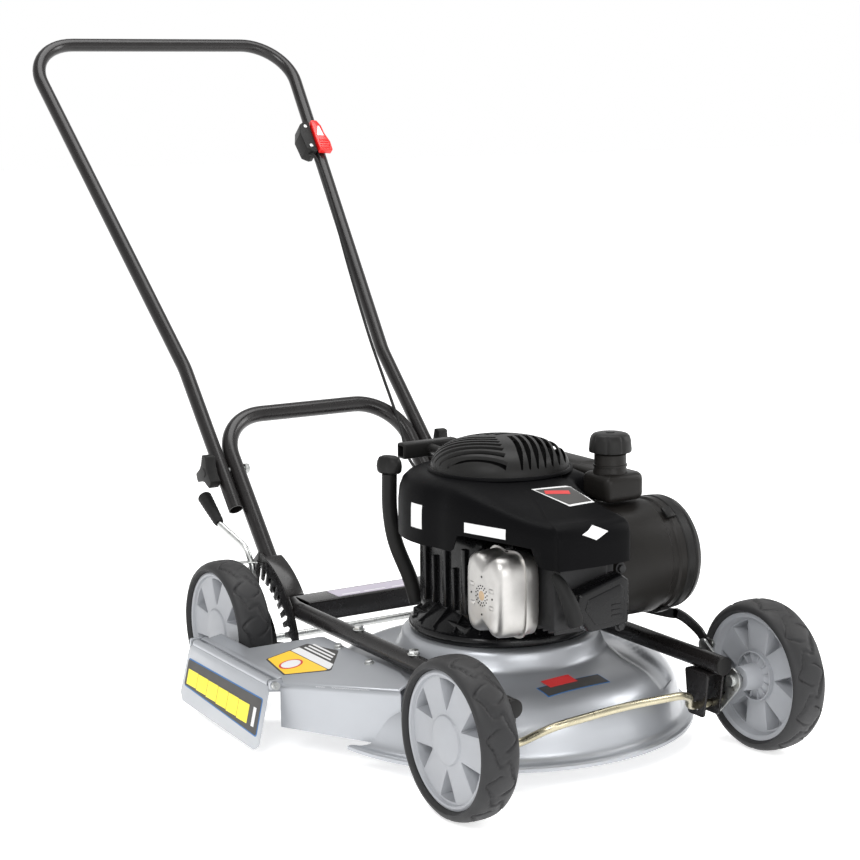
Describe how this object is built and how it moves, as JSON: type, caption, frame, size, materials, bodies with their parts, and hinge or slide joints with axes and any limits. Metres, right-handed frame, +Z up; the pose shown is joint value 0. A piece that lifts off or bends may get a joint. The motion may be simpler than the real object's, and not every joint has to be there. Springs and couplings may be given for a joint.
{
  "type": "push lawn mower",
  "caption": "Petrol push lawn mower with a silver steel deck, side discharge chute, height lever and folding tubular handle.",
  "frame": {"origin": "centre of the bounding box on the ground plane, on the object's own footprint", "axes": "+X to the operator's left, +Y towards the operator at the back, +Z up"},
  "size_m": [0.5986, 1.4414, 0.9752],
  "materials": {
    "aluminium": "as cast or pressed",
    "black_tube": "semi-gloss black powder coat",
    "blade_steel": "ground spring steel",
    "filter_foam": "open foam",
    "gloss_black": "gloss black paint on cast aluminium",
    "red_plastic": "glossy moulded plastic",
    "rim_plastic": "satin moulded plastic",
    "rubber": "moulded tread rubber",
    "satin_black": "satin black moulded plastic",
    "silver_paint": "smooth silver metallic paint",
    "tank_plastic": "fine-grained moulded plastic",
    "zinc": "zinc plated"
  },
  "bodies": {
    "chassis": {"air_filter_base": "satin_black", "air_filter_element": "filter_foam", "axle_hanger_left": "black_tube", "axle_hanger_right": "black_tube", "blower_housing": "satin_black", "carburettor": "aluminium", "chassis_tube": "black_tube", "chute_flap_pin": "zinc", "crankcase": "gloss_black", "cylinder": "aluminium", "discharge_chute": "silver_paint", "fuel_tank": "tank_plastic", "handle_bolt_left": "zinc", "handle_bolt_right": "zinc", "height_quadrant": "black_tube", "mower_deck": "silver_paint", "muffler": "aluminium", "oil_filler_tube": "satin_black", "rail_bolt_1": "zinc", "rail_bolt_2": "zinc", "rail_bolt_3": "zinc", "rail_bolt_4": "zinc", "rear_axle_plate_left": "black_tube", "rear_cross_member": "black_tube", "recoil_cover": "satin_black", "spark_plug_boot": "rubber", "throttle_cable": "rubber", "tube_plug_left": "satin_black", "tube_plug_right": "satin_black", "valve_cover": "gloss_black"},
    "upper_handle": {"upper_handle": "black_tube", "throttle_housing": "satin_black"},
    "throttle_lever": {"throttle_lever": "red_plastic"},
    "knob_left": {"handle_knob_left": "satin_black"},
    "knob_right": {"handle_knob_right": "satin_black"},
    "chute_flap": {"chute_flap": "silver_paint"},
    "front_axle": {"front_axle": "zinc"},
    "rear_axle": {"rear_axle": "zinc", "height_lever": "zinc", "lever_grip": "rubber"},
    "link_rod": {"link_rod": "black_tube"},
    "wheel_front_left": {"rim_front_left": "rim_plastic", "tyre_front_left": "rubber"},
    "wheel_front_right": {"rim_front_right": "rim_plastic", "tyre_front_right": "rubber"},
    "wheel_rear_left": {"rim_rear_left": "rim_plastic", "tyre_rear_left": "rubber"},
    "wheel_rear_right": {"rim_rear_right": "rim_plastic", "tyre_rear_right": "rubber"},
    "rotor": {"crankshaft": "blade_steel", "flywheel": "aluminium", "blade_disc": "blade_steel", "blade_bolt": "zinc"},
    "blade_1": {"blade_1": "blade_steel"},
    "blade_2": {"blade_2": "blade_steel"},
    "starter_grip": {"starter_grip": "satin_black"},
    "fuel_cap": {"fuel_cap": "satin_black"},
    "dipstick_cap": {"dipstick_cap": "satin_black"},
    "air_filter_cover": {"air_filter_cover": "satin_black"}
  },
  "joints": [
    {"name": "height", "type": "hinge", "parent": "chassis", "child": "rear_axle", "pos_m": [0.03615, 0.03885, 0.06443], "axis": [1, 0, 0], "range_deg": [0, 64]},
    {"name": "front_axle", "type": "hinge", "parent": "chassis", "child": "front_axle", "pos_m": [0.03615, -0.59021, 0.06443], "axis": [1, 0, 0], "range_deg": [0, 64]},
    {"name": "link_rod", "type": "hinge", "parent": "front_axle", "child": "link_rod", "pos_m": [0.22615, -0.56223, 0.13484], "axis": [1, 0, 0], "range_deg": [-64, 0]},
    {"name": "wheel_front_left", "type": "hinge", "parent": "front_axle", "child": "wheel_front_left", "pos_m": [0.27615, -0.62073, 0.09999], "axis": [1, 0, 0], "continuous": true},
    {"name": "wheel_front_right", "type": "hinge", "parent": "front_axle", "child": "wheel_front_right", "pos_m": [-0.20385, -0.62073, 0.09999], "axis": [1, 0, 0], "continuous": true},
    {"name": "wheel_rear_left", "type": "hinge", "parent": "rear_axle", "child": "wheel_rear_left", "pos_m": [0.27615, 0.00833, 0.09999], "axis": [1, 0, 0], "continuous": true},
    {"name": "wheel_rear_right", "type": "hinge", "parent": "rear_axle", "child": "wheel_rear_right", "pos_m": [-0.20385, 0.00833, 0.09999], "axis": [1, 0, 0], "continuous": true},
    {"name": "handle_fold", "type": "hinge", "parent": "chassis", "child": "upper_handle", "pos_m": [0.03615, 0.1254, 0.31039], "axis": [1, 0, 0], "range_deg": [0, 118]},
    {"name": "knob_left", "type": "hinge", "parent": "chassis", "child": "knob_left", "pos_m": [0.19442, 0.1254, 0.31039], "axis": [1, 0, 0], "continuous": true},
    {"name": "knob_right", "type": "hinge", "parent": "chassis", "child": "knob_right", "pos_m": [-0.12213, 0.1254, 0.31039], "axis": [1, 0, 0], "continuous": true},
    {"name": "throttle", "type": "hinge", "parent": "upper_handle", "child": "throttle_lever", "pos_m": [0.26061, 0.52512, 0.78312], "axis": [0, -0.7481, 0.6635], "range_deg": [-30, 0]},
    {"name": "chute_flap", "type": "hinge", "parent": "chassis", "child": "chute_flap", "pos_m": [-0.27335, -0.16064, 0.09664], "axis": [0, 0.9999, 0.0145], "range_deg": [0, 95], "stiffness_Nm_per_rad": 0.15, "springref_deg": -28.65},
    {"name": "crank", "type": "hinge", "parent": "chassis", "child": "rotor", "pos_m": [0.03615, -0.35476, 0.10384], "axis": [0, -0.0145, 0.9999], "continuous": true},
    {"name": "blade_1", "type": "hinge", "parent": "rotor", "child": "blade_1", "pos_m": [0.03615, -0.21202, 0.0539], "axis": [0, -0.0145, 0.9999], "range_deg": [-110, 110]},
    {"name": "blade_2", "type": "hinge", "parent": "rotor", "child": "blade_2", "pos_m": [0.03615, -0.49599, 0.04979], "axis": [0, -0.0145, 0.9999], "range_deg": [-110, 110]},
    {"name": "starter_grip", "type": "slide", "parent": "chassis", "child": "starter_grip", "axis": [0, 0.7912, 0.6115], "range_m": [0, 0.6], "stiffness_N_per_m": 12, "springref_m": -0.4},
    {"name": "fuel_cap", "type": "hinge", "parent": "chassis", "child": "fuel_cap", "pos_m": [0.13265, -0.47709, 0.4021], "axis": [0, -0.0145, 0.9999], "continuous": true},
    {"name": "dipstick_cap", "type": "hinge", "parent": "chassis", "child": "dipstick_cap", "pos_m": [-0.06985, -0.24448, 0.36146], "axis": [0, -0.0145, 0.9999], "continuous": true},
    {"name": "air_filter_cover", "type": "hinge", "parent": "chassis", "child": "air_filter_cover", "pos_m": [0.22615, -0.47786, 0.24807], "axis": [1, 0, 0], "range_deg": [0, 45]}
  ],
  "couplings": [
    {"joint": "front_axle", "follows": "height", "ratio": 1},
    {"joint": "link_rod", "follows": "height", "ratio": -1}
  ]
}
